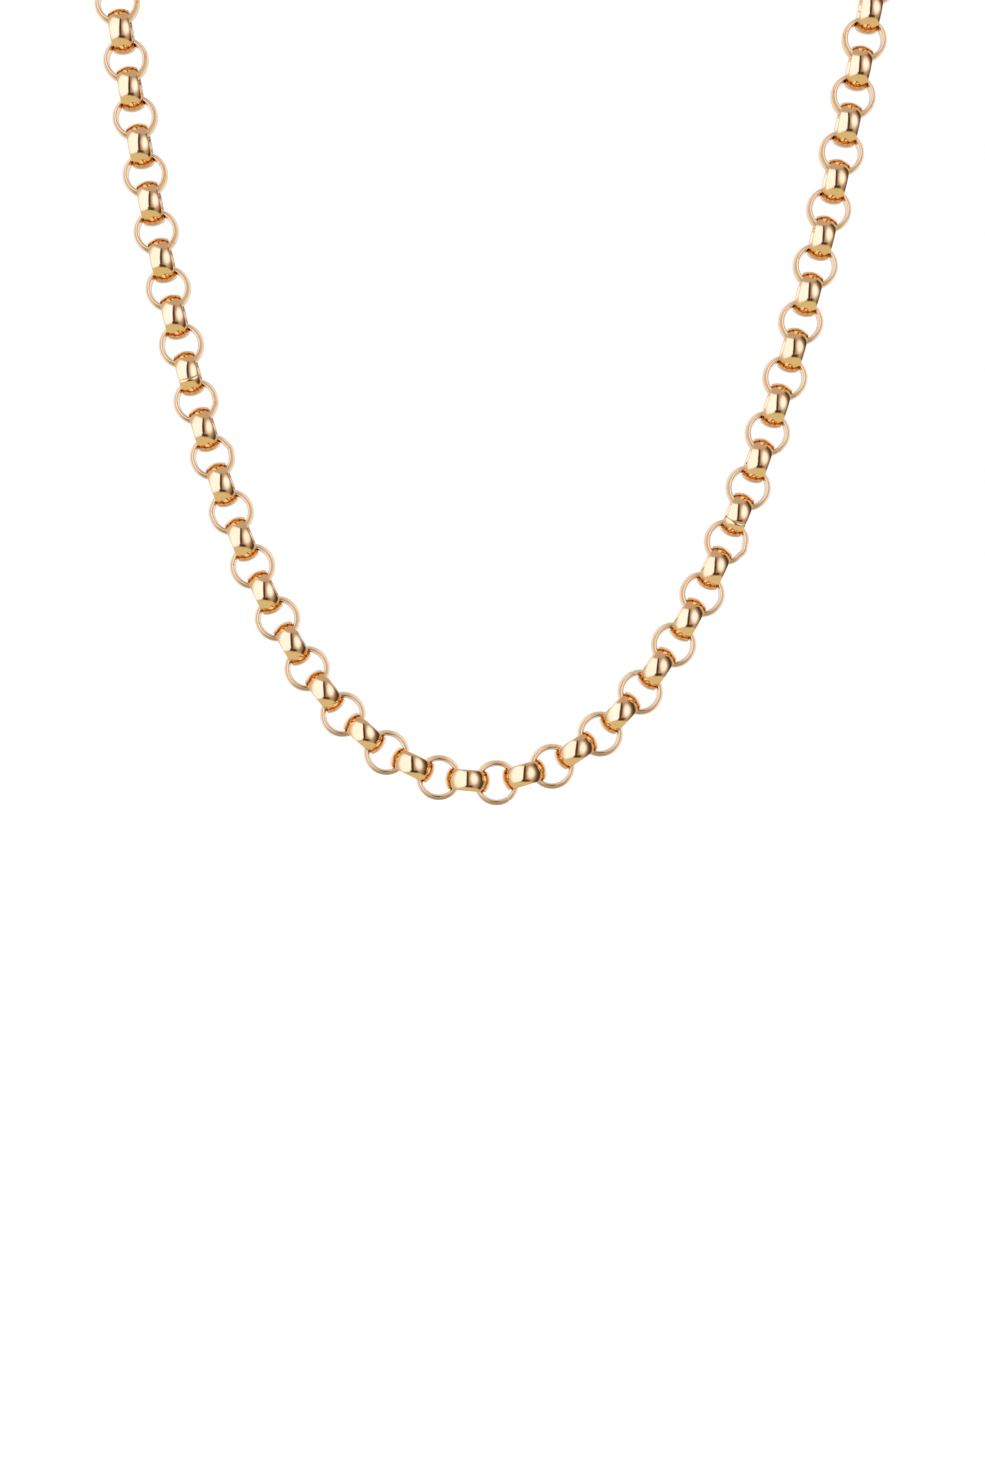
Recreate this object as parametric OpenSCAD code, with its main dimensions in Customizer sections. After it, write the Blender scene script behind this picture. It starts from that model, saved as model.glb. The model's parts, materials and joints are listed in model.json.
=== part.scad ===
// Belcher chain necklace: round domed links, each turned a quarter from the last,
// hanging in a free curve at the front and closed at the nape by a lobster clasp.

/* [Links] */
// Radius of a link at the crown of its domed outside
crown_r = 3.55; // [3.4:0.05:3.6]
// Radius of the hole at the middle of the band
bore_r = 2.6; // [2.5:0.05:2.75]
// Width of the band that a link is bent from
band_w = 3.3; // [2.8:0.1:3.3]
// Radius of the dome across the outside of the band
dome_r = 2.5; // [2.3:0.1:4]
// Radius of the hole at the edges of the band
rim_bore_r = 2.82; // [2.8:0.01:2.85]
// Distance between the centres of neighbouring links
pitch = 4.54; // [4.4:0.01:4.54]

/* [Front drop] */
// Radius of the hanging curve at its lowest point
curve_r = 23.5; // [20:0.1:40]
// How far the lowest face-on link sits past the lowest point of the curve
lowest_past = 2.9; // [0:0.1:4.5]
// Face-on links on each side of the lowest one
front_rings = 16; // [8:1:16]

/* [Back run] */
// Links on each side between the front drop and the clasp, always an odd number
back_links = 21; // [21:2:23]
// Turn at each of the links that carry the chain over to the back
shoulder_turn = 28; // [24:0.5:30]
// Links turned edge-on that make that turn
shoulder_links = 3; // [3:1:3]
// Turn at each link that leads the chain round the neck
neck_turn = 9.5; // [8:0.05:12]
// Small turn that brings the chain level on its way to the nape
level_turn = 1.2; // [0:0.1:2]
// Extra shoulder turn on the side whose turn starts one link higher
right_extra = 1.9; // [0:0.1:2]

/* [Clasp] */
// Radius of the wire of the jump ring and the end ring
wire_r = 0.6; // [0.5:0.05:0.65]
// Radius of those rings at the middle of their wire
wire_ring_r = 3; // [2.9:0.05:3.1]
// Outer radius of the clasp's hook
hook_r = 4.3; // [4.2:0.05:4.5]
// Radius of the space inside the hook
hook_bore_r = 2.7; // [2.6:0.05:2.8]
// Thickness of the clasp body
clasp_t = 2.6; // [2.4:0.1:2.6]
// Thickness of the loop at its tail
tail_t = 1.6; // [1.4:0.1:1.6]
// Radius of the rivet pin
pin_r = 0.45; // [0.4:0.05:0.5]

/* [Hidden] */
$fn = 64;
gold = "#d9a066";
pale_gold = "#e6bd8a";
bore_flare = rim_bore_r - bore_r;
fit_gap = 0.15;       // gap round the lever
pin_gap = 0.03;       // gap round the pin
link_to_wire = 4.44;  // from a link's centre to that of a wire ring that hangs in it
tail_hole_r = 1.05;
tail_r = 1.9;
neck_at = [3.2, 0];   // where the tail meets the hook's plate, from the tail hole
neck_r = 2.1;
hook_at = [9, 0];
nose_at = [6.9, -0.3];
nose_r = 1.3;
pivot_at = [4.6, 0.9];
boss_r = 1.3;
gate_r = 2;           // the lever's thick part starts this far from the pivot
gate_end_r = 6;       // and ends here, on a circle round the pivot
slot_r = 2.4;
slot_t = 1.3;
thumb_at = [3.7, 3.3];
thumb_r = 0.75;
far = 20;
tail_from_jump = wire_ring_r + 0.3;   // from the jump ring's centre to the tail hole

// ---- the line that the links follow ----

// Slope of the bar between face-on links k and k + 1: in a hanging chain the tangent of
// the slope grows in equal steps, with the weight that the bar carries.
function bar_angle(k) = atan((lowest_past + 2 * pitch * (k + 0.5)) / curve_r);
function bar_dir(k) = [cos(bar_angle(k)), 0, sin(bar_angle(k))];
function ring_at(k) =
    k == 0 ? [lowest_past, 0, 0] :
    k > 0 ? ring_at(k - 1) + 2 * pitch * bar_dir(k - 1) :
    ring_at(k + 1) - 2 * pitch * bar_dir(k);
function barrel_at(k) = ring_at(k) + pitch * bar_dir(k);

function unit(v) = v / norm(v);
// A place on the chain is [centre, direction of travel, axis of the face-on links].
function lean(place, angle) = [place[0],
    place[1] * cos(angle) + place[2] * sin(angle),
    place[2] * cos(angle) - place[1] * sin(angle)];
function swing(place, angle) = [place[0],
    place[1] * cos(angle) + cross(place[2], place[1]) * sin(angle), place[2]];
function step_on(place) = [place[0] + pitch * place[1], place[1], place[2]];

function is_shoulder(i) = i % 2 == 0 && i / 2 < shoulder_links;
function turned(place, i, side) =
    is_shoulder(i) ? lean(place, shoulder_turn + (side > 0 ? right_extra : 0)) :
    i % 2 == 0 ? lean(place, level_turn) :
    i > 2 ? swing(place, -side * neck_turn) : place;
function back_start(side) =
    let (k = side > 0 ? front_rings : -front_rings - 1)
    [barrel_at(k), side * bar_dir(k), [0, 1, 0]];
// The centre, direction and axis of link i of the back run: 0 is the first edge-on link.
function back_place(side, i) =
    i == 0 ? back_start(side) : step_on(turned(back_place(side, i - 1), i - 1, side));
function back_axis(side, i) =
    let (at = back_place(side, i))
    i % 2 == 1 ? at[2] : unit(cross(at[1], at[2]));

left_end = back_place(-1, back_links - 1);
right_end = back_place(1, back_links - 1);
jump_at = left_end[0] + left_end[1] * link_to_wire;
end_at = right_end[0] + right_end[1] * link_to_wire;
across = unit(end_at - jump_at);
nape = (left_end[0] + right_end[0]) / 2;
clasp_back = unit([0, 1, 0] - across * across.y);
clasp_up = cross(across, clasp_back);
clasp_at = jump_at + across * tail_from_jump;

// ---- names ----

function side_name(side) = side > 0 ? "right" : "left";
function pair_name(side, n) = str(side_name(side), "_pair_", n < 10 ? "0" : "", n);
PAIRS = [for (side = [-1, 1], n = [1:front_rings]) [side, n]];

// ---- shapes ----

module placed(centre, axis) {
    translate(centre - nape) rotate([0, acos(axis.z), atan2(axis.y, axis.x)]) children();
}

// The cut across a link's band: domed outside, faintly rounded inside, thin flat edges.
module band_section() {
    flare_r = (pow(band_w / 2, 2) + pow(bore_flare, 2)) / (2 * bore_flare);
    intersection() {
        translate([crown_r - dome_r, 0]) circle(dome_r, $fn = 180);
        translate([bore_r + flare_r, 0]) circle(flare_r, $fn = 720);
        translate([0, -band_w / 2]) square([crown_r + 1, band_w]);
    }
}

module link() { rotate_extrude() band_section(); }

module wire_ring() { rotate_extrude() translate([wire_ring_r, 0]) circle(wire_r); }

// One face-on link and the edge-on link below it, n counted up from the lowest link.
module pair(side, n) {
    below = side > 0 ? n - 1 : -n;
    along = bar_dir(below);
    color(gold) placed(ring_at(side * n), [0, 1, 0]) link();
    color(pale_gold) placed(barrel_at(below), [-along.z, 0, along.x]) link();
}

module bottom_ring() { color(gold) placed(ring_at(0), [0, 1, 0]) link(); }

module back_run(side, first) {
    for (i = [first:2:back_links - 1])
        placed(back_place(side, i)[0], back_axis(side, i)) link();
}

module back_rings_left() { color(gold) back_run(-1, 1); }
module back_rings_right() { color(gold) back_run(1, 1); }
module back_barrels_left() { color(pale_gold) back_run(-1, 0); }
module back_barrels_right() { color(pale_gold) back_run(1, 0); }

module jump_ring() { color(gold) placed(jump_at, clasp_up) wire_ring(); }
module end_ring() { color(gold) placed(end_at, clasp_up) wire_ring(); }

// Puts a shape drawn from the tail hole, x towards the hook and z up, at the nape.
module at_clasp() {
    multmatrix([for (i = [0:2]) [across[i], clasp_back[i], clasp_up[i],
        clasp_at[i] - nape[i]]]) children();
}
module plate(t) { rotate([90, 0, 0]) linear_extrude(t, center = true) children(); }

// Two circles and the straight sides that touch both.
module tapered(a, ra, b, rb) {
    d = b - a;
    bend = acos((ra - rb) / norm(d));
    dir = atan2(d.y, d.x);
    translate(a) circle(ra);
    translate(b) circle(rb);
    polygon([for (s = [[a, ra, 1], [b, rb, 1], [b, rb, -1], [a, ra, -1]])
        s[0] + s[1] * [cos(dir + s[2] * bend), sin(dir + s[2] * bend)]]);
}

module hook_outline() { tapered(neck_at, neck_r, hook_at, hook_r); }
module hook_space() { tapered(nose_at, nose_r, hook_at, hook_bore_r); }
module round_pivot(r) { translate(pivot_at) circle(r); }
// The quarter above and to the right of the pivot, where the gate opens.
module gate_quarter(gap) {
    translate(pivot_at + [gap, -0.2]) square([far, far]);
}
module gate_ring(inner, outer, gap) {
    intersection() {
        difference() { round_pivot(outer); round_pivot(inner); }
        gate_quarter(gap);
    }
}

module clasp_body() {
    color(gold) at_clasp() difference() {
        union() {
            plate(clasp_t) hook_outline();
            plate(tail_t) tapered([0, 0], tail_r, neck_at, neck_r);
        }
        plate(far) hook_space();
        plate(far) gate_ring(gate_r - fit_gap, gate_end_r, 0);
        plate(slot_t) round_pivot(slot_r);
        plate(far) round_pivot(pin_r + pin_gap);
        plate(far) circle(tail_hole_r);
    }
}

module clasp_lever() {
    color(pale_gold) at_clasp() difference() {
        union() {
            plate(clasp_t - 0.3) intersection() {
                difference() { hook_outline(); hook_space(); }
                gate_ring(gate_r, gate_end_r - fit_gap, fit_gap);
            }
            plate(slot_t - 0.2) intersection() {
                difference() { hook_outline(); hook_space(); }
                gate_ring(0, slot_r, fit_gap);
            }
            plate(slot_t - 0.2) {
                round_pivot(boss_r);
                tapered(pivot_at, boss_r * 0.8, thumb_at, thumb_r);
            }
        }
        plate(far) round_pivot(pin_r + pin_gap);
    }
}

module clasp_pin() {
    color(gold) at_clasp() translate([pivot_at.x, 0, pivot_at.y])
        rotate([90, 0, 0]) cylinder(r = pin_r, h = clasp_t + 0.1, center = true);
}

// A leaf bent round the lever's boss inside the slot.
module clasp_spring() {
    color("silver") at_clasp() plate(slot_t - 0.3) intersection() {
        difference() { round_pivot(2.05); round_pivot(1.8); }
        translate(pivot_at) polygon([[0, 0], [-far, far / 4], [-far, -far], [0, -far]]);
    }
}

for (p = PAIRS)
    pair(p[0], p[1]);
bottom_ring();
back_rings_left();
back_rings_right();
back_barrels_left();
back_barrels_right();
jump_ring();
end_ring();
clasp_body();
clasp_lever();
clasp_pin();
clasp_spring();
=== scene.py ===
import json
from math import cos, pi, radians, sin

import bmesh
import bpy
import numpy as np
from mathutils import Matrix, Vector


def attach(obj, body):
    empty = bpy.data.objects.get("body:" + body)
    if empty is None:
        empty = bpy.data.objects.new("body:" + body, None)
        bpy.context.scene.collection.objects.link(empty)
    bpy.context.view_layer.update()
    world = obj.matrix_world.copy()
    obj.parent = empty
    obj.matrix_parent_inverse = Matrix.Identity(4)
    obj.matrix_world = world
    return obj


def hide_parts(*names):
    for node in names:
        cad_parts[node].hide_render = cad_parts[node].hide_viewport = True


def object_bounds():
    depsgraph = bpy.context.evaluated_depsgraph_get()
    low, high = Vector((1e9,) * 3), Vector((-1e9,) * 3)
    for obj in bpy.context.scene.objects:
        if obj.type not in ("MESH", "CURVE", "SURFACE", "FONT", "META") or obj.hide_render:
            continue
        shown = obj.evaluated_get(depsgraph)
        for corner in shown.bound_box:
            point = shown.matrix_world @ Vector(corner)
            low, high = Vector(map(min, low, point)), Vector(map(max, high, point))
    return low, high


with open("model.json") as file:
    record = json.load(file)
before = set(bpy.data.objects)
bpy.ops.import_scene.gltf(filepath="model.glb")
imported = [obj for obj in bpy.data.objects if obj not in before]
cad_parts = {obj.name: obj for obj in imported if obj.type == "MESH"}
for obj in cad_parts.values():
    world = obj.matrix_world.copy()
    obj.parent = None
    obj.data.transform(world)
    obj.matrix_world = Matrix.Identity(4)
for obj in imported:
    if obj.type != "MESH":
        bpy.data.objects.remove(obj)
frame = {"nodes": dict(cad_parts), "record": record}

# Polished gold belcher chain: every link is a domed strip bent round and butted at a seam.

MM = 0.001
CAD_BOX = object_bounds()
RECORD = frame["record"]["behaviour"]

# ---- sizes, in metres ----
CROWN = 3.55 * MM         # outside radius of a link at the crown of its dome
BORE = 2.6 * MM           # inside radius at the middle of the band
HALF_BAND = 1.65 * MM     # half the width of the band
DOME = 3.0 * MM           # radius of the dome across the band
FLARE = 0.22 * MM         # how far the bore opens towards the rims
RIM_BORE = 2.78 * MM      # inside radius where the rims start to roll over
WIRE_RING = 3.0 * MM      # radius of the jump ring at the middle of its wire
WIRE = 0.6 * MM           # radius of its wire
BUTT_GAP = 0.04 * MM      # gap left where the ends of a link meet
WIRE_GAP = 0.05 * MM      # and where those of the jump ring and the end ring do
KINK_MOST = 0.01 * MM     # how much a link out of view is out of round at its seam
LIP_MOST = 0.01 * MM      # and how far its ends may be out of line in all

LINK_ROWS = 132           # sections round a link
WIRE_ROWS = 96            # sections round the jump ring and the end ring
WIRE_COLS = 28            # points round their wire

# Procedural patterns: waves in a metre, and depths.
TONE_WAVES = 260
HANDLING_WAVES = 900
DENT_WAVES, DENT_DEPTH = 420, 0.06 * MM
HAIR_WAVES, HAIR_DEPTH = 5200, 0.004 * MM


# ---- helpers ----

def new_object(name, mesh):
    """An object at the origin that shows a mesh."""
    obj = bpy.data.objects.new(name, mesh)
    bpy.context.scene.collection.objects.link(obj)
    return obj


def new_mesh(name, verts, faces, uv):
    """A smooth-shaded object from an array of points, a list of faces and an array of uv."""
    mesh = bpy.data.meshes.new(name)
    mesh.from_pydata(verts.tolist(), [], faces)
    mesh.polygons.foreach_set("use_smooth", np.ones(len(mesh.polygons), dtype=bool))
    layer = mesh.uv_layers.new(name="band")
    loops = np.empty(len(mesh.loops), dtype=np.int32)
    mesh.loops.foreach_get("vertex_index", loops)
    layer.data.foreach_set("uv", uv[loops].ravel())
    mesh.update()
    return new_object(name, mesh)


def grid_faces(rows, cols):
    """Quads over rows that are each a closed loop of cols points, not joined end to end."""
    r, c = [a.ravel() for a in np.meshgrid(np.arange(rows - 1), np.arange(cols), indexing="ij")]
    c2 = (c + 1) % cols
    return np.stack([r * cols + c, r * cols + c2, (r + 1) * cols + c2, (r + 1) * cols + c], 1)


def islands(node):
    """The separate solids of a CAD node, each as an array of triangles (n, 3, 3). Every point
    takes the lowest label found among the triangles it belongs to until nothing changes."""
    mesh = frame["nodes"][node].data
    pts = np.empty(len(mesh.vertices) * 3)
    mesh.vertices.foreach_get("co", pts)
    mesh.calc_loop_triangles()
    tris = np.empty(len(mesh.loop_triangles) * 3, dtype=np.int32)
    mesh.loop_triangles.foreach_get("vertices", tris)
    key = np.round(pts.reshape(-1, 3) * 1e7).astype(np.int64)
    place, first = np.unique(key, axis=0, return_inverse=True)
    tris = first.reshape(-1)[tris].reshape(-1, 3)
    label = np.arange(len(place))
    while True:
        low = label[tris].min(1)
        new = label.copy()
        for i in range(3):
            np.minimum.at(new, tris[:, i], low)
        new = new[new]
        if (new == label).all():
            break
        label = new
    groups = label[tris[:, 0]]
    return [place[tris[groups == g]] / 1e7 for g in np.unique(groups)]


def centre_and_axis(tris):
    """The centre of a round solid and the line it is round about: of the three main
    directions of its spread, weighted by area, the one in which it spreads least."""
    mid = tris.mean(1)
    area = np.linalg.norm(np.cross(tris[:, 1] - tris[:, 0], tris[:, 2] - tris[:, 0]), axis=1)
    centre = (mid * area[:, None]).sum(0) / area.sum()
    away = mid - centre
    spread = (away[:, :, None] * away[:, None, :] * area[:, None, None]).sum(0)
    return centre, np.linalg.eigh(spread)[1][:, 0]


def is_face_on(axis):
    return abs(axis[1]) > 0.9


def link_frame(axis):
    """Unit vectors x, y, z of a link. z is its axis. An edge-on link has x to the front and
    y downwards. A face-on one has x to the right and y downwards."""
    face_on = is_face_on(axis)
    z = axis * np.sign(axis[1] if face_on else axis[0] + 0.1 * axis[2])
    ahead = np.array([1.0, 0, 0]) if face_on else np.array([0, -1.0, 0])
    x = ahead - (ahead @ z) * z
    x /= np.linalg.norm(x)
    return np.stack([x, np.cross(z, x), z])


# ---- one link ----

def band_outline():
    """The closed section of the band as (radius, height) points, going up the outside and down
    the inside. Outside: an arc of the dome's radius about a centre CROWN - DOME from the
    axis. Rims: the one smaller circle that touches the dome, the flat of the band's edge and
    the bore. Inside: a parabola that opens by FLARE at the rims."""
    middle = CROWN - DOME
    reach = RIM_BORE - middle
    slack = reach - HALF_BAND + DOME
    rim = np.sqrt(slack ** 2 + DOME ** 2 - reach ** 2 - HALF_BAND ** 2) - slack
    edge = HALF_BAND - rim
    last = np.arctan2(edge, reach + rim)
    arc = np.linspace(-last, last, 15)
    dome = np.stack([middle + DOME * np.cos(arc), DOME * np.sin(arc)], 1)
    roll = np.linspace(last, pi, 13)[1:]
    top = np.stack([RIM_BORE + rim + rim * np.cos(roll), edge + rim * np.sin(roll)], 1)
    h = np.linspace(edge, -edge, 9)[1:-1]
    inside = np.stack([BORE + FLARE * (h / HALF_BAND) ** 2, h], 1)
    return np.concatenate([dome, top, inside, top[::-1] * [1, -1]])


OUTLINE = band_outline()


def round_the_seam(half_gap, rows, crowding):
    """Where the sections of a bent strip stand: as shares of the way from one side of the
    seam to the other, as angles, which are closer together near the seam, and as angles from
    the seam on either side."""
    along = np.linspace(0, 1, rows)
    turn = half_gap + (2 * pi - 2 * half_gap) * (along - np.sin(2 * pi * along) * crowding)
    return along, turn, np.minimum(turn, 2 * pi - turn)


def bent_strip(r, angle, h, along):
    """Points (n, 3), uv and faces of closed sections that stand one after another, from their
    radius, angle and height about the Z axis. The first and the last section are closed."""
    rows, cols = r.shape
    pts = np.stack([r * np.cos(angle), r * np.sin(angle), h], -1).reshape(-1, 3)
    faces = grid_faces(rows, cols)[:, ::-1].tolist()
    faces += [list(range(cols)), list(range((rows - 1) * cols, rows * cols))[::-1]]
    uv = np.stack([np.repeat(along, cols), np.tile(np.arange(cols) / cols, rows)], 1)
    return pts, uv, faces


def band_link(seam, gap, kink, lip):
    """A link about the Z axis. The section is carried round a circle from one side of the
    seam to the other, with its two sides a little wavy along the seam. The two ends
    are straighter than the rest: the radius falls by kink on each side of the seam, by e x
    exp(-x) with x the square of the angle over 18 degrees. One side stands above the other by
    lip times a bell curve, and the very end rounds over, more so where the gap is wide."""
    half_gap = gap / 2 / CROWN
    along, turn, near = round_the_seam(half_gap, LINK_ROWS, 0.125)
    bell = np.exp(-(near / radians(10)) ** 2)
    flats = (near / radians(18)) ** 2
    dip = kink * flats * np.exp(1 - flats)
    step = np.where(turn < pi, lip, -lip * 0.4) * np.exp(-(near / radians(5)) ** 2)
    mid = (CROWN + BORE) / 2
    rounded = 1 - 0.2 * np.exp(-(near - half_gap) / (radians(0.3) + half_gap))
    r = mid + (OUTLINE[:, 0] - mid) * rounded[:, None] + (step - dip)[:, None]
    h = OUTLINE[:, 1] * (1 - 0.03 * bell[:, None])
    across = OUTLINE[:, 1] / HALF_BAND
    wave = 0.5 * half_gap * np.sin(across * 2.6 + seam * 5)
    return bent_strip(r, turn[:, None] + seam + wave * bell[:, None], h, along)


def wire_link(seam, gap):
    """A round wire bent into a ring about the Z axis and cut through at the seam: a circle of
    the wire's radius carried round a circle. The last degree rounds over at the cut."""
    half_gap = gap / 2 / WIRE_RING
    along, turn, near = round_the_seam(half_gap, WIRE_ROWS, 0.12)
    size = WIRE * (1 - 0.15 * np.exp(-(near - half_gap) / radians(0.8)))[:, None]
    round_wire = np.linspace(0, 2 * pi, WIRE_COLS, endpoint=False)
    r = WIRE_RING + size * np.cos(round_wire)
    return bent_strip(r, turn[:, None] + seam, size * np.sin(round_wire), along)


# ---- metals ----

def principled(name):
    """A new material with its nodes, links and main shader."""
    mat = bpy.data.materials.new(name)
    mat.use_nodes = True
    nodes = mat.node_tree.nodes
    return mat, nodes, mat.node_tree.links, nodes["Principled BSDF"]


def noise(nodes, links, coord, scale, detail):
    """Procedural noise laid over an object at a scale in waves per metre."""
    tex = nodes.new("ShaderNodeTexNoise")
    tex.inputs["Scale"].default_value = scale
    tex.inputs["Detail"].default_value = detail
    links.new(coord.outputs["Object"], tex.inputs["Vector"])
    return tex.outputs["Fac"]


def polished_metal(name, tint, rough, dents, hairs):
    """Warm metal, buffed. The tint drifts a little, roughness follows handling, dents is the
    faint waviness that tumbling leaves and hairs the depth of the finest polishing lines."""
    mat, nodes, links, bsdf = principled(name)
    coord = nodes.new("ShaderNodeTexCoord")
    tone = nodes.new("ShaderNodeValToRGB")
    dull, bright = tone.color_ramp.elements
    dull.position, bright.position = 0.3, 0.7
    dull.color = (tint[0] * 0.97, tint[1] * 0.94, tint[2] * 0.9, 1)
    bright.color = (*tint, 1)
    links.new(noise(nodes, links, coord, TONE_WAVES, 3), tone.inputs["Fac"])
    links.new(tone.outputs["Color"], bsdf.inputs["Base Color"])
    spread = nodes.new("ShaderNodeMapRange")
    spread.inputs["To Min"].default_value = rough * 0.6
    spread.inputs["To Max"].default_value = rough * 1.5
    links.new(noise(nodes, links, coord, HANDLING_WAVES, 4), spread.inputs["Value"])
    links.new(spread.outputs["Result"], bsdf.inputs["Roughness"])
    soft = nodes.new("ShaderNodeBump")
    soft.inputs["Strength"].default_value = dents
    soft.inputs["Distance"].default_value = DENT_DEPTH
    hair = nodes.new("ShaderNodeBump")
    hair.inputs["Strength"].default_value = hairs
    hair.inputs["Distance"].default_value = HAIR_DEPTH
    links.new(noise(nodes, links, coord, DENT_WAVES, 2), soft.inputs["Height"])
    links.new(noise(nodes, links, coord, HAIR_WAVES, 2), hair.inputs["Height"])
    links.new(soft.outputs["Normal"], hair.inputs["Normal"])
    links.new(hair.outputs["Normal"], bsdf.inputs["Normal"])
    bsdf.inputs["Metallic"].default_value = 1.0
    return mat


GOLD = (0.93, 0.615, 0.29)
METALS = {
    "link_gold": polished_metal("link_gold", GOLD, 0.07, 0.5, 0.1),
    "wire_gold": polished_metal("wire_gold", GOLD, 0.09, 0.12, 0.3),
    "clasp_gold": polished_metal("clasp_gold", GOLD, 0.11, 0.3, 0.3),
    "spring_steel": polished_metal("spring_steel", (0.6, 0.59, 0.57), 0.2, 0.1, 0.5),
}

# ---- the chain ----

node_body = {n: body for body, nodes in RECORD["bodies"].items() for n in nodes}


def dress(obj, node, slot):
    """Gives a piece its metal, puts it in place of a CAD node and lets it ride that body."""
    obj.data.materials.append(METALS[slot])
    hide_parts(node)
    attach(obj, node_body[node])


def placed(shapes):
    """Joins (points, uv, faces) shapes, each carried to its centre and axes."""
    verts, uvs, faces, base = [], [], [], 0
    for (pts, uv, quads), centre, axes in shapes:
        verts.append(centre + pts @ axes)
        uvs.append(uv)
        faces += [[i + base for i in q] for q in quads]
        base += len(pts)
    return np.concatenate(verts), faces, np.concatenate(uvs)


# Seams that face the front: angle in degrees, then gap, kink and lip in mm.
SEEN = {
    ("right_pair_07", "edge_on"): (24, 0.15, 0.0, -0.1),
    ("left_pair_10", "edge_on"): (20, 0.05, 0.03, -0.05),
    ("left_pair_09", "face_on"): (4, 0.04, 0.09, 0.01),
    ("left_pair_08", "face_on"): (-28, 0.04, 0.09, 0.0),
    ("left_pair_07", "face_on"): (178, 0.04, 0.07, 0.01),
    ("right_pair_06", "face_on"): (28, 0.04, 0.15, -0.01),
}
rng = np.random.default_rng(18)


def seam_of(node, axis):
    """Where a link is butted and how well: given if it is seen, else by chance, and for an
    edge-on link always away from the front."""
    way = "face_on" if is_face_on(axis) else "edge_on"
    chance = rng.uniform(0, 1, 3)
    if (node, way) in SEEN:
        seam, *sizes = SEEN[node, way]
        return radians(seam), *[s * MM for s in sizes]
    seam = radians(100 + 160 * chance[0]) if way == "edge_on" else 2 * pi * chance[0]
    return seam, BUTT_GAP, KINK_MOST * chance[1], LIP_MOST * (chance[2] - 0.5)


LINK_NODES = [n for n in frame["nodes"] if "pair" in n or n.startswith(("back_", "bottom_"))]
for node in sorted(LINK_NODES):
    shapes = []
    for tris in islands(node):
        centre, axis = centre_and_axis(tris)
        shapes.append((band_link(*seam_of(node, axis)), centre, link_frame(axis)))
    dress(new_mesh(node + "_links", *placed(shapes)), node, "link_gold")

for node in ("jump_ring", "end_ring"):
    centre, axis = centre_and_axis(islands(node)[0])
    seam = radians(60 if node == "jump_ring" else 200)
    shape = (wire_link(seam, WIRE_GAP), centre, link_frame(axis))
    dress(new_mesh(node + "_wire", *placed([shape])), node, "wire_gold")


# ---- the clasp ----

def softened(node, name, width, slot):
    """A CAD solid with its flat faces made whole again and its sharp edges rolled over."""
    bm = bmesh.new()
    bm.from_mesh(frame["nodes"][node].data)
    bmesh.ops.remove_doubles(bm, verts=bm.verts, dist=1e-7)
    bmesh.ops.dissolve_limit(bm, angle_limit=radians(1), verts=bm.verts, edges=bm.edges)
    bmesh.ops.recalc_face_normals(bm, faces=bm.faces)
    mesh = bpy.data.meshes.new(name)
    bm.to_mesh(mesh)
    bm.free()
    mesh.polygons.foreach_set("use_smooth", np.ones(len(mesh.polygons), dtype=bool))
    obj = new_object(name, mesh)
    roll = obj.modifiers.new("rolled_edges", "BEVEL")
    roll.limit_method = "ANGLE"
    roll.angle_limit = radians(35)
    roll.width = width
    roll.segments = 4
    roll.use_clamp_overlap = False
    flat = obj.modifiers.new("flat_faces", "WEIGHTED_NORMAL")
    flat.keep_sharp = True
    dress(obj, node, slot)


softened("clasp_body", "clasp_casting", 0.12 * MM, "clasp_gold")
softened("clasp_lever", "clasp_thumb_lever", 0.06 * MM, "clasp_gold")
softened("clasp_pin", "clasp_rivet", 0.1 * MM, "clasp_gold")
softened("clasp_spring", "clasp_leaf_spring", 0.04 * MM, "spring_steel")

# ---- studio ----

FLOOR_REACH = 30          # metres from the middle of the floor to its sides
FLOOR_BELOW = 0.25        # metres from the lowest link down to it
LAMP_AT = (35, 11)        # the middle of the lamp, azimuth and elevation
LAMP_SIZE = (20, 33)      # half its size in the same

ROOM = (0.70, 0.71, 0.80)
WINDOW = (1.0, 1.05, 1.25)
SHADE = (0.42, 0.40, 0.40)
DARK = (0.08, 0.06, 0.04)
GLOW = (0.48, 0.41, 0.42)
LAMP = (1.3, 1.57, 2.5)
BOX = (1.35, 1.58, 2.6)
CEILING = (0.60, 0.55, 0.60)
TABLE = (0.76, 0.76, 0.62)

# What stands round the chain, later rows before earlier ones: a colour, whether it stands on
# both sides, and where its left, right, low and high edges begin and end to fade, in degrees.
# The lamp stands between the two lists.
PANELS = (
    (WINDOW, True, (124, 142), (156, 170), (-40, -10), (30, 60)),
    (SHADE, True, (120, 130), None, None, (-46, -20)),
    (DARK, False, (-40, -20), (84, 100), None, None),
    (GLOW, False, (3, 10), (50, 78), None, None),
)
NEAR_PANELS = (
    (BOX, False, (-88, -56), (-10, -4), (-46, -32), (46, 68)),
    (CEILING, False, None, None, (52, 62), None),
    (DARK, False, (-20, -8), (20, 44), None, (-31, -25)),
    (TABLE, True, None, (110, 130), None, (-46, -39)),
)


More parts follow.
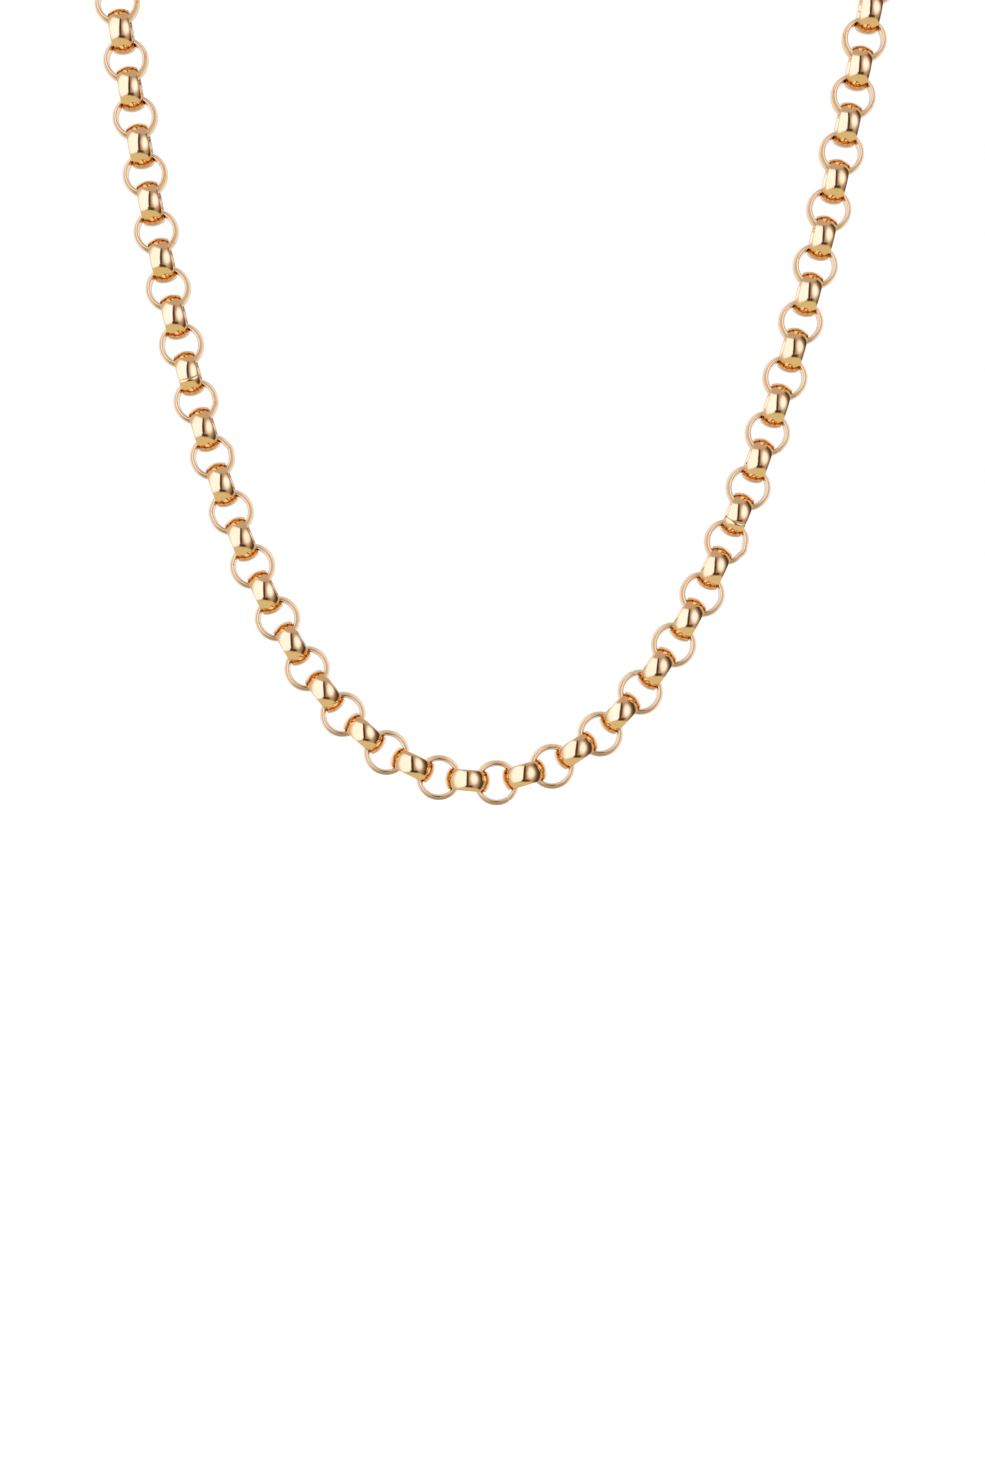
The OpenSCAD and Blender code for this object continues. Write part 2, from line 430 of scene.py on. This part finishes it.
def pale_floor():
    """A lit white table under the chain that runs out of sight."""
    size, z = FLOOR_REACH, CAD_BOX[0][2] - FLOOR_BELOW
    mesh = bpy.data.meshes.new("floor")
    corners = [(x * size, y * size, z) for x, y in ((-1, -1), (1, -1), (1, 1), (-1, 1))]
    mesh.from_pydata(corners, [], [(0, 1, 2, 3)])
    floor = new_object("floor", mesh)
    mat, nodes, links, bsdf = principled("pale_floor")
    bsdf.inputs["Base Color"].default_value = (0.9, 0.9, 0.9, 1)
    bsdf.inputs["Roughness"].default_value = 0.8
    bsdf.inputs["Emission Color"].default_value = (1, 1, 1, 1)
    bsdf.inputs["Emission Strength"].default_value = 0.5
    mesh.materials.append(mat)
    floor.visible_glossy = False


def studio_world():
    """Soft boxes round the chain, by direction: azimuth from the front, plus to the right, and
    elevation, both in degrees. What the camera sees past the chain is plain white."""
    world = bpy.data.worlds.new("studio")
    bpy.context.scene.world = world
    world.use_nodes = True
    nodes, links = world.node_tree.nodes, world.node_tree.links

    def math(kind, a, b=None):
        node = nodes.new("ShaderNodeMath")
        node.operation = kind
        for socket, value in zip(node.inputs, (a, b)):
            if isinstance(value, (int, float)):
                socket.default_value = value
            elif value is not None:
                links.new(value, socket)
        return node.outputs["Value"]

    def rise(value, start, stop):
        """0 below start, 1 above stop, with an S between them."""
        node = nodes.new("ShaderNodeMapRange")
        node.interpolation_type = "SMOOTHSTEP"
        node.inputs["From Min"].default_value = start
        node.inputs["From Max"].default_value = stop
        links.new(value, node.inputs["Value"])
        return node.outputs["Result"]

    def fall(value, start, stop):
        """1 below start, 0 above stop."""
        return math("SUBTRACT", 1, rise(value, start, stop))

    def both(masks):
        """Where all of the masks are."""
        product = masks[0]
        for mask in masks[1:]:
            product = math("MULTIPLY", product, mask)
        return product

    def lay(under, mask, colour):
        """A colour over another, as far as the mask goes."""
        node = nodes.new("ShaderNodeMix")
        node.data_type = "RGBA"
        sockets = [s for s in node.inputs if s.type == "RGBA"]
        links.new(mask, node.inputs["Factor"])
        if isinstance(under, tuple):
            sockets[0].default_value = (*under, 1)
        else:
            links.new(under, sockets[0])
        sockets[1].default_value = (*colour, 1)
        return [s for s in node.outputs if s.type == "RGBA"][0]

    coord = nodes.new("ShaderNodeTexCoord")
    parts = nodes.new("ShaderNodeSeparateXYZ")
    links.new(coord.outputs["Generated"], parts.inputs["Vector"])
    x, y, z = parts.outputs["X"], parts.outputs["Y"], parts.outputs["Z"]
    azimuth = math("DEGREES", math("ARCTAN2", x, math("MULTIPLY", y, -1)))
    elevation = math("DEGREES", math("ARCSINE", z))
    both_sides = math("ABSOLUTE", azimuth)

    def lay_panel(under, colour, twice, left, right, bottom, top):
        """A soft-edged rectangle over what is already there."""
        across = both_sides if twice else azimuth
        edges = ((rise, across, left), (fall, across, right),
                 (rise, elevation, bottom), (fall, elevation, top))
        masks = [fade(value, *edge) for fade, value, edge in edges if edge]
        return lay(under, both(masks), colour)

    def squared(value, middle, size):
        off = math("DIVIDE", math("SUBTRACT", value, middle), size)
        return math("MULTIPLY", off, off)

    from_lamp = math("SQRT", math("ADD", squared(azimuth, LAMP_AT[0], LAMP_SIZE[0]),
                                  squared(elevation, LAMP_AT[1], LAMP_SIZE[1])))
    sky = ROOM
    for panel in PANELS:
        sky = lay_panel(sky, *panel)
    sky = lay(sky, fall(from_lamp, 0.4, 1.5), LAMP)
    for panel in NEAR_PANELS:
        sky = lay_panel(sky, *panel)
    seen = nodes.new("ShaderNodeLightPath")
    sky = lay(sky, seen.outputs["Is Camera Ray"], (1, 1, 1))
    links.new(sky, nodes["Background"].inputs["Color"])


pale_floor()
studio_world()

# ---- camera ----

lowest = next(Vector(j["pos_m"]) for j in RECORD["joints"] if j["name"] == "bottom_bend")
LOOK_AT = lowest + Vector((-0.76 * MM, 0, 6.62 * MM))
DISTANCE = 0.48           # metres from the camera to the chain
FIELD_H = 231.9 * MM      # height of what it sees there
SENSOR = 36
YAW, ROLL = radians(0.5), radians(1.125)

camera_data = bpy.data.cameras.new("camera")
camera_data.sensor_fit = "VERTICAL"
camera_data.sensor_height = SENSOR
camera_data.lens = SENSOR * DISTANCE / FIELD_H
camera_data.clip_start = 0.01
camera = new_object("camera", camera_data)
looking = Vector((sin(YAW), cos(YAW), 0))
camera.location = LOOK_AT - looking * DISTANCE
upright = looking.to_track_quat("-Z", "Y").to_matrix()
camera.rotation_euler = (Matrix.Rotation(-ROLL, 3, looking) @ upright).to_euler()
bpy.context.scene.camera = camera

bpy.context.scene.view_settings.view_transform = "Standard"
